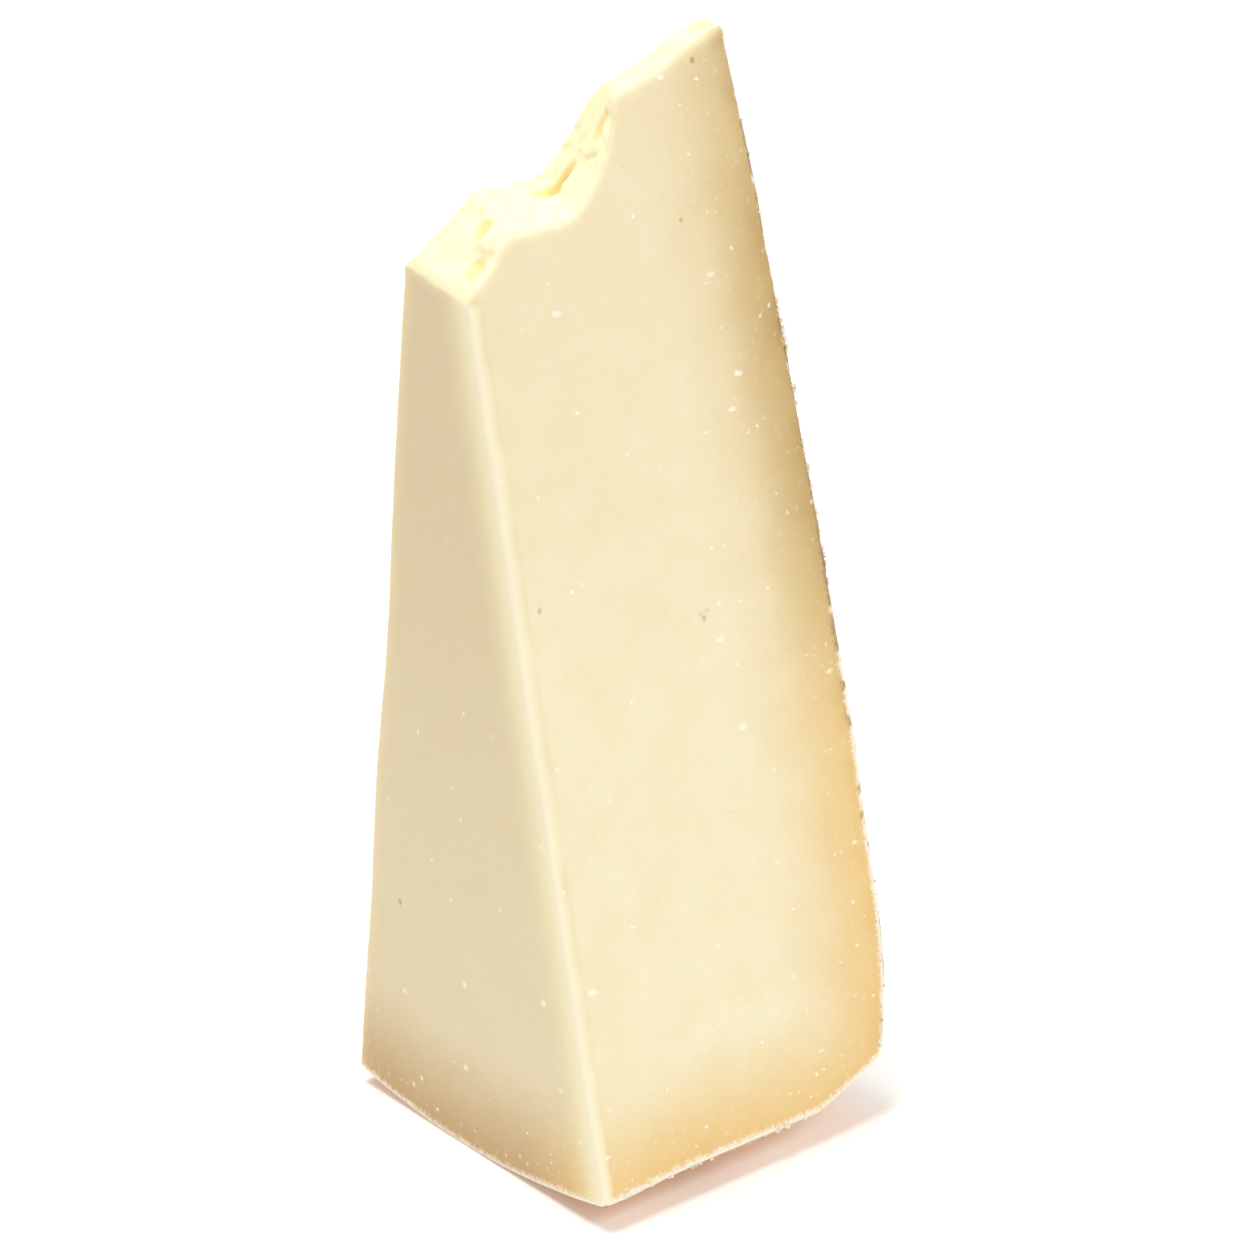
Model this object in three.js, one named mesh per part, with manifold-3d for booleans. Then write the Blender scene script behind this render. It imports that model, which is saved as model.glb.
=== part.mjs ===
// A wedge of clothbound cheddar that stands on its rind, thin end up.
// It is cut from a wheel, from the centre to the wall, and the wheel was first halved flat.
// So it has one flat cut (x = 0), two radial cuts, and rind on its side (high x) and its base.
// The thin tip at the wheel's centre is broken off, not cut, which leaves a crumbly stepped top.
//
// Millimetres, +Z up. The shaping is done about the wheel's axis, which is the X axis:
// "depth" is the distance below that axis. The last step sets the wedge down on z = 0.
import * as THREE from "three";
import { mergeVertices } from "three/addons/utils/BufferGeometryUtils.js";
import Module from "manifold-3d";

// The wheel and the cuts
const wheelRadius = 180;
const wedgeAngle = THREE.MathUtils.degToRad(19.6);
const rimThickness = 60.3; // flat cut to rind, near the wall
const hubThickness = 52.4; // flat cut to rind, at the dished centre of the wheel
const dishRadius = 145; // the rind face is dished inside this radius
const dishRound = 0.8; // 1 gives a round dish, 0 a straight cone
const shoulderStart = 43; // x where the wall starts to round over
const shoulderDrop = 4.6; // how far the wall falls away before it turns the corner
const cornerRadius = 2.6;
const sideBulge = 0.7; // the wheel's side leans in by this much a millimetre near the corner
// The wall bulges past a true circle, most at "middle": -1 is the front cut and 1 the back one
const wallBulge = { height: 1.28, middle: -0.34, fall: 1, frontLoss: 0.5, frontLossFrom: 20 };

// How it stands
const rock = THREE.MathUtils.degToRad(-3.1); // rolled on its curved base, towards the front
const restDepth = 180.7; // the base is pressed flat this far below the axis, where it rests

// The broken top: [x, depth] along the front cut and along the back cut
const frontBreak = [
  [-4, 46.5], [0, 43.4], [5.2, 39.6], [9.5, 35.1], [16, 35.4], [22, 34.6],
  [26.4, 30.6], [30.3, 24.2], [31.4, 19.2], [38, 17.8], [46, 15], [53, 12.6], [64, 12.2],
];
const backBreak = [
  [-4, 43], [0, 40.4], [6.4, 36.1], [11.2, 31.4], [17.5, 32.1], [25, 31.1],
  [28.4, 27.6], [32.4, 21.4], [34.6, 19.6], [38, 19.2], [46, 15.2], [53, 12.5], [64, 12.4],
];
const breakSlab = { top: 12, halfWidth: 10.5, step: 0.72 };
const crags = [
  { cell: 5.2, lift: 0.85, tilt: 0.24, seed: 7 },
  { cell: 2.1, lift: 0.34, tilt: 0.3, seed: 19 },
];
const calmFrom = 32; // past this x the break is a smoother, thinner edge
const calmShare = 0.45;
// Hollows torn out at the foot of the step and in the lower ledge: centre, half sizes, turn about Y
const tears = [
  { x: 23.6, y: -0.4, depth: 31.6, size: [3.4, 1.5, 2.2], turn: 0.35 },
  { x: 8.2, y: -1.6, depth: 36.2, size: [1.5, 1.2, 1.3], turn: 0 },
  { x: 4.2, y: -4.6, depth: 40.2, size: [1.4, 1.1, 1.2], turn: 0 },
];

// The rind's relief: cloth pleats folded over the shoulder, and a slow waviness
const pleats = { pitch: 0.105, height: 0.55, reach: 46 };
const waviness = { length: 31, height: 0.35 };

// The cut faces
const edgeChamfer = 0.8; // the worn front edge between the flat cut and the front cut
const pits = [
  { face: "front", x: 30.2, depth: 99, size: 0.95 },
  { face: "front", x: 6.6, depth: 93.6, size: 0.45 },
  { face: "front", x: 49.2, depth: 18.6, size: 0.45 },
  { face: "flat", y: 16.2, depth: 146, size: 0.45 },
];

const half = wedgeAngle / 2;
const lerp = THREE.MathUtils.lerp;
const smoothstep = THREE.MathUtils.smoothstep;

const wasm = await Module();
wasm.setup();

// A closed geometry as a solid that can be joined and cut
function solid(geometry) {
  const plain = geometry.clone();
  plain.deleteAttribute("normal");
  plain.deleteAttribute("uv");
  const merged = mergeVertices(plain, 1e-4);

  // Triangles that a pole has collapsed to a line are left out
  const corners = merged.index.array;
  const kept = [];
  for (let i = 0; i < corners.length; i += 3) {
    const [a, b, c] = corners.slice(i, i + 3);
    if (a !== b && b !== c && c !== a) kept.push(a, b, c);
  }
  return new wasm.Manifold(
    new wasm.Mesh({
      numProp: 3,
      vertProperties: merged.attributes.position.array,
      triVerts: new Uint32Array(kept),
    }),
  );
}

// A solid as a geometry again
function geometryOf(made) {
  const mesh = made.getMesh();
  const geometry = new THREE.BufferGeometry();
  const places = new Float32Array(mesh.vertProperties);
  geometry.setAttribute("position", new THREE.BufferAttribute(places, 3));
  geometry.setIndex(new THREE.BufferAttribute(new Uint32Array(mesh.triVerts), 1));
  geometry.computeVertexNormals();
  return geometry;
}

// A repeatable random number from 0 to 1 for a whole-numbered place
function hash(i, j, seed) {
  let n = Math.imul(i + 101, 374761393) ^ Math.imul(j + 211, 668265263) ^ Math.imul(seed, 2246822519);
  n = Math.imul(n ^ (n >>> 13), 1274126177);
  return ((n ^ (n >>> 16)) >>> 0) / 4294967296;
}

// The height of a line through [x, value] points
function along(points, x) {
  const next = points.findIndex((point) => point[0] >= x);
  if (next < 1) return points[next < 0 ? points.length - 1 : 0][1];
  const [x0, v0] = points[next - 1];
  const [x1, v1] = points[next];
  return lerp(v0, v1, (x - x0) / (x1 - x0));
}

// Broken curd: each cell is a small tilted facet, so neighbours meet in steps and ridges
function facets(x, y, { cell, lift, tilt, seed }) {
  const column = Math.floor(x / cell);
  const row = Math.floor(y / cell);
  let nearest = Infinity;
  let height = 0;
  for (let i = column - 1; i <= column + 1; i++)
    for (let j = row - 1; j <= row + 1; j++) {
      const dx = x - (i + hash(i, j, seed)) * cell;
      const dy = y - (j + hash(i, j, seed + 1)) * cell;
      const distance = dx * dx + dy * dy;
      if (distance >= nearest) continue;
      nearest = distance;
      const leanX = (hash(i, j, seed + 2) * 2 - 1) * tilt;
      const leanY = (hash(i, j, seed + 3) * 2 - 1) * tilt;
      height = (hash(i, j, seed + 4) * 2 - 1) * lift + leanX * dx + leanY * dy;
    }
  return height;
}

// How deep below the wheel's axis the broken top lies
function breakDepth(x, y) {
  const front = along(frontBreak, x);
  const back = along(backBreak, x);
  const halfThickness = ((front + back) / 2) * Math.tan(half);
  const depth = lerp(front, back, smoothstep(y, -halfThickness, halfThickness));
  const strength = lerp(1, calmShare, smoothstep(x, calmFrom - 2, calmFrom + 4));
  return depth + strength * crags.reduce((sum, layer) => sum + facets(x, y, layer), 0);
}

// The wheel's half section as [radius, x]: axis, past the flat cut, wall, shoulder, side, axis
function wheelSection() {
  const section = [new THREE.Vector2(0, -6)];
  for (let i = 1; i <= 6; i++) section.push(new THREE.Vector2((wheelRadius * i) / 6, -6));
  for (let x = -2; x < shoulderStart; x += 4) section.push(new THREE.Vector2(wheelRadius, x));

  // The shoulder: a long shallow round, the corner, and the side leaning out to full thickness
  const cornerX = rimThickness - 3.4;
  const cornerR = wheelRadius - shoulderDrop;
  const wallEnd = new THREE.Vector2(wheelRadius, shoulderStart);
  const beforeCorner = new THREE.Vector2(cornerR + cornerRadius * 0.25, cornerX - cornerRadius);
  const roll = new THREE.Vector2(wheelRadius - 0.6, shoulderStart + 5);
  section.push(...new THREE.QuadraticBezierCurve(wallEnd, roll, beforeCorner).getPoints(4));
  const corner = new THREE.Vector2(cornerR, cornerX);
  const afterCorner = new THREE.Vector2(cornerR - cornerRadius * 1.4, cornerX + sideBulge);
  section.push(...new THREE.QuadraticBezierCurve(beforeCorner, corner, afterCorner).getPoints(4).slice(1));
  const sideEnd = new THREE.Vector2(dishRadius + 8, rimThickness);
  const lean = new THREE.Vector2(cornerR - 14, rimThickness - 0.4);
  section.push(...new THREE.QuadraticBezierCurve(afterCorner, lean, sideEnd).getPoints(6).slice(1));

  for (let radius = dishRadius; radius > 0; radius -= 5) {
    const rise = lerp(radius / dishRadius, Math.sin((Math.PI / 2) * (radius / dishRadius)), dishRound);
    section.push(new THREE.Vector2(radius, lerp(hubThickness, rimThickness, rise)));
  }
  section.push(new THREE.Vector2(0, hubThickness));
  return section;
}

// How far the rind stands proud of the plain wheel at a place on it
function rindRelief(radius, x, turn) {
  const nearRim = smoothstep(radius, wheelRadius - pleats.reach, wheelRadius - 8);
  const onShoulder = smoothstep(x, shoulderStart - 14, shoulderStart + 8);
  const fold = turn / pleats.pitch + 0.35 * Math.sin(radius / 17);
  const pleat = Math.pow(Math.abs(Math.sin(Math.PI * fold)), 3) - 0.4;
  const slow = (2 * Math.PI) / waviness.length;
  const wave = Math.sin(slow * radius + 1.3) * Math.sin(slow * (x + 95 * turn) + 0.4);
  return pleats.height * pleat * nearRim * onShoulder + waviness.height * wave;
}

// How far the wall bulges past the true wheel
function bulge(radius, x, turn) {
  const across = THREE.MathUtils.clamp(turn / half, -1.3, 1.3);
  const onWall = smoothstep(radius, wheelRadius - 14, wheelRadius - 4);
  const arch = wallBulge.height - wallBulge.fall * (across - wallBulge.middle) ** 2;
  const nearFront = smoothstep(-across, 0.4, 1) * smoothstep(x, 0, wallBulge.frontLossFrom);
  return onWall * (arch - wallBulge.frontLoss * nearFront);
}

// The half wheel, with its axis along X
function wheel() {
  const turns = 640;
  const geometry = new THREE.LatheGeometry(wheelSection(), turns).rotateZ(-Math.PI / 2);
  const place = geometry.attributes.position;
  const normal = geometry.attributes.normal;
  for (let i = 0; i < place.count; i++) {
    const x = place.getX(i);
    const y = place.getY(i);
    const z = place.getZ(i);
    const radius = Math.hypot(y, z);
    const turn = Math.atan2(y, -z);
    if (x < -3 || radius < 6 || Math.abs(turn) > wedgeAngle) continue;
    const relief = rindRelief(radius, x, turn);
    const swell = 1 + bulge(radius, x, turn) / radius;
    place.setXYZ(
      i,
      x + normal.getX(i) * relief,
      y * swell + normal.getY(i) * relief,
      z * swell + normal.getZ(i) * relief,
    );
  }
  return solid(geometry);
}

// The knife's work: everything between the two radial cuts, on the rind side of the flat cut
function sector() {
  const reach = wheelRadius * 1.2;
  const width = reach * Math.tan(half);
  const outline = new THREE.Shape([
    new THREE.Vector2(0, 0),
    new THREE.Vector2(-width, -reach),
    new THREE.Vector2(width, -reach),
  ]);
  const length = rimThickness + 20;
  const geometry = new THREE.ExtrudeGeometry(outline, { depth: length, bevelEnabled: false });
  // The outline is drawn in Y and Z, and the extrusion runs along X
  geometry.applyMatrix4(
    new THREE.Matrix4().makeBasis(
      new THREE.Vector3(0, 1, 0),
      new THREE.Vector3(0, 0, 1),
      new THREE.Vector3(1, 0, 0),
    ),
  );
  return solid(geometry);
}

// A block over the broken top, whose underside is the break
function brokenAway() {
  const { top, halfWidth, step } = breakSlab;
  const lowX = frontBreak[0][0] + 1;
  const highX = frontBreak[frontBreak.length - 1][0] - 1;
  const columns = Math.round((highX - lowX) / step);
  const rows = Math.round((2 * halfWidth) / step);
  const geometry = new THREE.BoxGeometry(highX - lowX, 2 * halfWidth, 1, columns, rows, 1);
  const place = geometry.attributes.position;
  for (let i = 0; i < place.count; i++) {
    const x = place.getX(i) + (lowX + highX) / 2;
    const y = place.getY(i);
    place.setXYZ(i, x, y, place.getZ(i) > 0 ? top : -breakDepth(x, y));
  }
  return solid(geometry);
}

// A low-poly ellipsoid at a place, for a torn hollow or a pit
function hollow(x, y, z, [sizeX, sizeY, sizeZ], turn) {
  const geometry = new THREE.SphereGeometry(1, 12, 8).scale(sizeX, sizeY, sizeZ);
  return solid(geometry.rotateY(turn).translate(x, y, z));
}

// A shallow pit in a cut face
function pit({ face, x = 0, y, depth, size }) {
  const side = face === "front" ? -depth * Math.sin(half) : y;
  const below = face === "front" ? -depth * Math.cos(half) : -depth;
  return hollow(x, side, below, [size, size, size * 1.2], 0.4);
}

// The sliver worn off the front edge
function wornEdge() {
  const side = edgeChamfer * 1.6;
  const geometry = new THREE.BoxGeometry(side, side, wheelRadius * 2.2);
  geometry.rotateZ(Math.PI / 4);
  const inset = edgeChamfer / Math.SQRT2 - side / Math.SQRT2;
  geometry.translate(inset, inset, -wheelRadius);
  return solid(geometry.rotateX(-half));
}

// The wedge in the wheel's own frame
function wedge() {
  let piece = wheel().intersect(sector());
  piece = piece.subtract(brokenAway());
  for (const { x, y, depth, size, turn } of tears)
    piece = piece.subtract(hollow(x, y, -depth, size, turn));
  for (const spot of pits) piece = piece.subtract(pit(spot));
  return piece.subtract(wornEdge());
}

// Rolled to its stance and pressed flat where it rests
function standing(piece) {
  const rolled = geometryOf(piece).rotateX(rock);
  const floor = new THREE.BoxGeometry(300, 300, 60);
  floor.translate(0, 0, -restDepth - 30);
  return geometryOf(solid(rolled).subtract(solid(floor)));
}

// Set down with its origin under the middle of its base
const cheese = standing(wedge());
cheese.computeBoundingBox();
const centre = cheese.boundingBox.getCenter(new THREE.Vector3());
cheese.translate(-centre.x, -centre.y, -cheese.boundingBox.min.z);

const paste = new THREE.MeshStandardMaterial({ color: 0xf3e2b4, roughness: 0.6, metalness: 0 });
const mesh = new THREE.Mesh(cheese, paste);
mesh.name = "cheddar_wedge";

const group = new THREE.Group();
group.add(mesh);

export default group;
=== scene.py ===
import math
import random
import bpy
import numpy as np
from mathutils import Matrix, Vector, noise


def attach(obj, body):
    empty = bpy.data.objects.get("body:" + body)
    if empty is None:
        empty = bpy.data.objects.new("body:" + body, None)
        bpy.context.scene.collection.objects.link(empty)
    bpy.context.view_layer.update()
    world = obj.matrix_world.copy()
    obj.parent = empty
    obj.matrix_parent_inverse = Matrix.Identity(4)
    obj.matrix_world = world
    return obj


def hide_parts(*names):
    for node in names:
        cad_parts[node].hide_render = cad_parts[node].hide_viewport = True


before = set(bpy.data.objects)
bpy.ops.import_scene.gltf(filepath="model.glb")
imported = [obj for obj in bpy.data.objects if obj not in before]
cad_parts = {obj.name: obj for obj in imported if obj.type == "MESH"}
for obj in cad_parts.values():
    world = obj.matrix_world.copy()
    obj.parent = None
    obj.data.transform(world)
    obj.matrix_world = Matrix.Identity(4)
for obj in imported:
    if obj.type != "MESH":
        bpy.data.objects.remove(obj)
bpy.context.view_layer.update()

print("cheddar: frame loaded")

# The wedge, in millimetres. x runs from the flat cut to the rind side, "depth" and "radius"
# are measured down from the wheel's axis, and "turn" is the angle round it (front is negative).
wedge = {
    "wheelRadius": 180.0,
    "angle": 19.6,  # degrees between the two radial cuts
    "rimThickness": 60.5,
    "hubThickness": 52.6,
    "dishRadius": 145.0,
    "dishRound": 0.8,  # 1 gives a round dish, 0 a straight cone
    "seed": 5,
    "shoulderStart": 43.0,
    "corner": ((55, 176), (57.1, 175), (57.7, 172.6)),  # x and radius: start, pull and end
    "leanPull": (60.1, 163),
    "rimRadius": 150,
    "outlineSteps": (90, 40, 24, 40, 120),  # points on the wall, roll, corner, lean and dish
    "wallBulge": (1.28, -0.34, 1.0, 0.5, 20.0),  # height, middle, fall, loss at the front, from x
    "rock": -3.1,  # degrees, rolled on its curved base towards the front
    "restDepth": 180.7,  # the base is pressed flat this far below the axis
    "axisPlace": (-30.331, 9.711, 180.7),
    "frontBreak": [
        (0, 42.6), (5.2, 38.9), (9.5, 34.6), (16, 34.9), (22, 34.1), (26.4, 30.1),
        (30.1, 23.7), (31.2, 18.8), (38, 17.3), (46, 14.5), (53.4, 12.2),
    ],
    "backBreak": [
        (0, 39.7), (6.4, 35.2), (11.5, 30.8), (17.5, 31.2), (24.6, 30.7), (28.2, 26.9),
        (31.8, 20.8), (34.2, 18.6), (38, 18.1), (46, 14.0), (53.4, 11.8),
    ],
    "columns": (7, 11),  # cuts made one after the other along each way of the block
    "rows": (7, 6),
    "layers": (3, 49),
    "crowding": (0.62, 0.74, 0.55),  # how much the cuts crowd towards the ends
    "sway": (26, 0.32, 7, 0.05),  # unevenness: size and height, slow and then fine
}

# Broken curd: facet size, how far facets stand apart, how much they lean, how soft their
# borders are as a share of the size, and how deep the cracks between them are
crags = [
    {"cell": 8.0, "lift": 0.46, "lean": 0.24, "border": 0.27, "crack": 0.12, "crackWidth": 0.10},
    {"cell": 3.4, "lift": 0.22, "lean": 0.24, "border": 0.25, "crack": 0.08, "crackWidth": 0.12},
    {"cell": 1.4, "lift": 0.06, "lean": 0.14, "border": 0.20, "crack": 0.02, "crackWidth": 0.20},
]

# Hollows torn in the break: x, y, half length along x, half width along y, depth, how much
# deeper with each millimetre of x
tears = [
    (22.7, 0.7, 3.4, 0.8, 1.5, 0.28),
    (8.4, -1.2, 1.2, 1.0, 0.45, 0.0),
    (4.2, -4.2, 1.5, 1.2, 0.3, 0.0),
    (29.8, -1.6, 1.0, 0.8, 0.5, 0.0),
]

# Small holes in the cut faces: face, x or y, depth, half size, how deep
pits = [
    ("front", 33.6, 96.4, 0.40, 0.28),
    ("front", 34.9, 96.3, 0.40, 0.28),
    ("front", 34.2, 97.3, 0.45, 0.34),
    ("front", 4.7, 88.6, 0.4, 0.25),
    ("front", 46.8, 16.9, 0.4, 0.3),
    ("front", 40.5, 39.1, 0.35, 0.25),
    ("flat", 17.1, 143.9, 0.45, 0.35),
]

# How far each edge is worn round on each of its two faces, in millimetres
wornEdges = {
    ("flat", "front"): (1.2, 3.2),
    ("flat", "back"): (0.8, 0.8),
    ("flat", "wall"): (1.1, 1.1),
    ("front", "wall"): (0.9, 0.9),
    ("back", "wall"): (2.2, 2.2),
    ("front", "side"): (0.7, 0.7),
    ("back", "side"): (1.0, 1.0),
    ("top", "side"): (1.9, 1.9),
    ("top", "front"): (1.3, 1.3),
    ("top", "back"): (1.3, 1.3),
    ("top", "flat"): (1.3, 1.3),
}

# Edges that are painted pale, how much, and how fast the strip fades on each of the two faces: on the cut
# paste a painted highlight of light glowing through the rounded edge, on the rind worn paleness
paleEdges = {
    ("flat", "front"): (1.0, 0.8, 1.0),
    ("flat", "back"): (0.3, 1.0, 1.0),
    ("top", "front"): (0.35, 1.0, 1.0),
    ("top", "back"): (0.35, 1.0, 1.0),
    ("top", "flat"): (0.75, 1.0, 1.0),
    ("top", "side"): (0.8, 1.0, 1.0),
}

# The flat cut is also painted paler towards its two long edges, a painted highlight fading in from the
# rounded edge: how much, and over what distance
edgeHighlightMargins = {"front": (0.86, 4.8), "back": (0.38, 4.2)}


def bendLine(a, b, c, steps):
    t = np.linspace(0, 1, steps)[:, None]
    return (1 - t) ** 2 * np.array(a) + 2 * t * (1 - t) * np.array(b) + t ** 2 * np.array(c)


def easeStep(value, low, high):
    t = np.clip((value - low) / (high - low), 0, 1)
    return t * t * (3 - 2 * t)


# The wheel's outline from the flat cut, along the wall, round the shoulder and up the side
def wheelOutline():
    radius, rim, hub = wedge["wheelRadius"], wedge["rimThickness"], wedge["hubThickness"]
    dish, shoulder = wedge["dishRadius"], wedge["shoulderStart"]
    cornerStart, cornerPull, cornerEnd = wedge["corner"]
    wallSteps, rollSteps, cornerSteps, leanSteps, dishSteps = wedge["outlineSteps"]
    wall = np.stack([np.linspace(0, shoulder, wallSteps), np.full(wallSteps, radius)], 1)
    roll = bendLine((shoulder, radius), (shoulder + 3, radius - 0.7), cornerStart, rollSteps)
    corner = bendLine(cornerStart, cornerPull, cornerEnd, cornerSteps)
    lean = bendLine(cornerEnd, wedge["leanPull"], (rim, wedge["rimRadius"]), leanSteps)
    dishRadii = np.linspace(dish, 0, dishSteps)
    rise = dishRadii / dish
    rise += (np.sin(math.pi / 2 * rise) - rise) * wedge["dishRound"]
    dishX = hub + (rim - hub) * rise
    line = np.vstack([wall, roll[1:], corner[1:], lean[1:], np.stack([dishX, dishRadii], 1)])
    run = np.concatenate([[0], np.cumsum(np.linalg.norm(np.diff(line, axis=0), axis=1))])
    way = np.gradient(line, axis=0)
    way /= np.linalg.norm(way, axis=1)[:, None]
    outward = np.stack([-way[:, 1], way[:, 0]], 1)
    outward *= np.sign(outward[:1, 1:2])  # out of the wheel: the wall faces larger radii
    cornerPoint = wallSteps + rollSteps - 1 + cornerSteps // 2
    return line, run, outward, cornerPoint


outline, outlineRun, outlineOut, cornerPoint = wheelOutline()
cornerRun = outlineRun[cornerPoint]
halfAngle = math.radians(wedge["angle"]) / 2


# Relief of the rind, in millimetres and radians
rindSurface = {
    "foldRadii": (134, 172),  # where the folds start and where they are full
    "foldX": (29, 51),
    "foldTurn": 0.105,  # from one fold to the next
    "foldHeight": 0.5,
    "waveLength": 31,
    "waveHeight": 0.28,
    "lumpSize": 5.5,
    "lumpHeight": 0.17,
}


# Folds of the cloth on the shoulder, slow waves and small lumps, at a run and a turn
def rindRelief(run, turn):
    radius = np.interp(run, outlineRun, outline[:, 1])
    x = np.interp(run, outlineRun, outline[:, 0])
    nearRim = easeStep(radius, *rindSurface["foldRadii"])
    onShoulder = easeStep(x, *rindSurface["foldX"])
    fold = turn / rindSurface["foldTurn"] + 0.35 * np.sin(radius / 17)
    pleat = np.abs(np.sin(math.pi * fold)) ** 3 - 0.4
    relief = rindSurface["foldHeight"] * pleat * nearRim * onShoulder
    slow = 2 * math.pi / rindSurface["waveLength"]
    wave = np.sin(slow * radius + 1.3) * np.sin(slow * (x + 95 * turn) + 0.4)
    relief += rindSurface["waveHeight"] * wave
    places = np.stack([run, turn * wedge["wheelRadius"], radius], 1)
    lumps = [noise.fractal(Vector(p) / rindSurface["lumpSize"], 0.9, 2.1, 3) for p in places]
    return relief + rindSurface["lumpHeight"] * np.array(lumps)


# How far the wall bulges past the true wheel, at a radius, x and turn
def bulge(radius, x, turn):
    height, middle, fall, frontLoss, lossFrom = wedge["wallBulge"]
    across = np.clip(turn / halfAngle, -1.3, 1.3)
    onWall = easeStep(radius, wedge["wheelRadius"] - 14, wedge["wheelRadius"] - 4)
    nearFront = easeStep(-across, 0.4, 1) * easeStep(x, 0, lossFrom)
    return onWall * (height - fall * (across - middle) ** 2 - frontLoss * nearFront)


# A place on the rind, pushed out by its relief, as x and radius
def onRind(run, turn):
    relief = rindRelief(run, turn)
    x = np.interp(run, outlineRun, outline[:, 0])
    radius = np.interp(run, outlineRun, outline[:, 1])
    outX = np.interp(run, outlineRun, outlineOut[:, 0])
    outR = np.interp(run, outlineRun, outlineOut[:, 1])
    atCut = np.clip(x / 3, 0, 1)  # the flat cut's own plane stays flat
    return x + outX * relief * atCut, radius + outR * relief + bulge(radius, x, turn)


# The height that broken curd stands above the smooth break, and how deep in a crack it is
def brokenCurd(place):
    height, crevice = 0.0, 0.0
    for layer in crags:
        spot = place / layer["cell"]
        distances, cells = noise.voronoi(spot)
        chance = noise.cell_vector(cells[0] * 7.3)
        apart = distances[1] - distances[0]
        own = 1 - math.exp(-(apart / layer["border"]) ** 2)  # facets meet at their borders
        lean = Vector((chance.x - 0.5, chance.y - 0.5, chance.z - 0.5)) * 2 * layer["lean"]
        height += (chance.z - 0.5) * 2 * layer["lift"] * own
        height += lean.dot(spot - cells[0]) * layer["cell"] * own
        crack = math.exp(-(apart / layer["crackWidth"]) ** 2)
        patchy = 0.5 + 0.5 * noise.noise(place / 4 + Vector((9, 2, 5)))
        height -= layer["crack"] * crack * patchy
        crevice += layer["crack"] * crack * patchy
    height += 0.10 * noise.fractal(place * 1.3, 0.8, 2.2, 3)
    return height, crevice


# The smooth break between the two cuts, with its upward direction, at u across and v through
def smoothBreak(u, v):
    front, back = np.array(wedge["frontBreak"]), np.array(wedge["backBreak"])
    share = np.linspace(0, 1, 241)
    run = np.concatenate([[0], np.cumsum(np.linalg.norm(np.diff(front, axis=0), axis=1))])
    run /= run[-1]
    kernel = np.ones(9) / 9
    lines = []
    for curve in (front, back):
        fine = np.stack([np.interp(share, run, curve[:, k]) for k in (0, 1)], 1)
        soft = np.stack([np.convolve(np.pad(fine[:, k], 4, "edge"), kernel, "valid") for k in (0, 1)], 1)
        soft[0], soft[-1] = fine[0], fine[-1]
        way = np.gradient(soft, axis=0)
        way /= np.linalg.norm(way, axis=1)[:, None]
        lines.append((soft, np.stack([way[:, 1], -way[:, 0]], 1)))
    through = v * v * (3 - 2 * v)
    mixed = []
    for part in (0, 1):
        for k in (0, 1):
            a = np.interp(u, share, lines[0][part][:, k])
            b = np.interp(u, share, lines[1][part][:, k])
            mixed.append(a + (b - a) * through)
    return mixed  # x, depth, up in x, up in depth


# What the crags and torn hollows add to the smooth break, as x, depth and crevice depth
def brokenRelief(u, v, turn):
    x, depth, upX, upDepth = smoothBreak(u, v)
    y = depth * np.tan(turn)
    calm = 1 - 0.5 * easeStep(x, 30, 37)
    calm *= 0.45 + 0.55 * easeStep(v, 0, 0.12)  # crisp where the knife cut across the break
    calm *= 0.3 + 0.7 * easeStep(u, 0.02, 0.24)
    heights = [brokenCurd(Vector(p)) for p in np.stack([x, y, depth], 1)]
    height, crevice = np.array(heights).T
    height, crevice = height * calm, crevice * calm
    # Dips below the smooth break count as crevices too, so that they get the painted shade colour
    crevice = crevice + 1.1 * np.maximum(-height - 0.06, 0)
    for tearX, tearY, longHalf, wideHalf, deep, deepening in tears:
        reach = ((x - tearX) / longHalf) ** 2 + ((y - tearY) / wideHalf) ** 2
        dip = np.exp(-reach ** 1.5)
        height = height - deep * dip * (1 + deepening * (x - tearX))
        crevice = crevice + 1.2 * dip
    inside = np.minimum(easeStep(u, 0, 0.03), easeStep(1 - u, 0, 0.03))
    return upX * height * inside, upDepth * height, crevice


# A block cut into a fine grid: the cuts go in by edges that run one way at a time
def cutBlock():
    bpy.ops.object.select_all(action="DESELECT")
    bpy.ops.mesh.primitive_cube_add(size=1, location=(0.5, 0.5, 0.5))
    bpy.ops.object.transform_apply(location=True, rotation=True, scale=True)
    block = bpy.context.object
    bpy.context.tool_settings.mesh_select_mode = (False, True, False)
    for axis, name in enumerate(("columns", "rows", "layers")):
        for cuts in wedge[name]:
            mesh = block.data
            spots = np.empty(len(mesh.vertices) * 3)
            mesh.vertices.foreach_get("co", spots)
            spots = spots.reshape(-1, 3)
            ends = np.empty(len(mesh.edges) * 2, dtype=np.int32)
            mesh.edges.foreach_get("vertices", ends)
            ends = ends.reshape(-1, 2)
            along = np.abs(spots[ends[:, 0]] - spots[ends[:, 1]]).argmax(1) == axis
            mesh.vertices.foreach_set("select", np.zeros(len(mesh.vertices), dtype=bool))
            mesh.polygons.foreach_set("select", np.zeros(len(mesh.polygons), dtype=bool))
            mesh.edges.foreach_set("select", along)
            bpy.ops.object.mode_set(mode="EDIT")
            bpy.ops.mesh.subdivide(number_cuts=cuts)
            bpy.ops.object.mode_set(mode="OBJECT")
    bpy.context.tool_settings.mesh_select_mode = (False, False, True)
    mesh = block.data
    mesh.vertices.foreach_set("select", np.zeros(len(mesh.vertices), dtype=bool))
    mesh.edges.foreach_set("select", np.zeros(len(mesh.edges), dtype=bool))
    for face in mesh.polygons:
        face.select = face.normal.z > 0.9
    bpy.ops.object.mode_set(mode="EDIT")
    bpy.ops.mesh.subdivide(number_cuts=1)
    bpy.ops.object.mode_set(mode="OBJECT")
    return block


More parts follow.
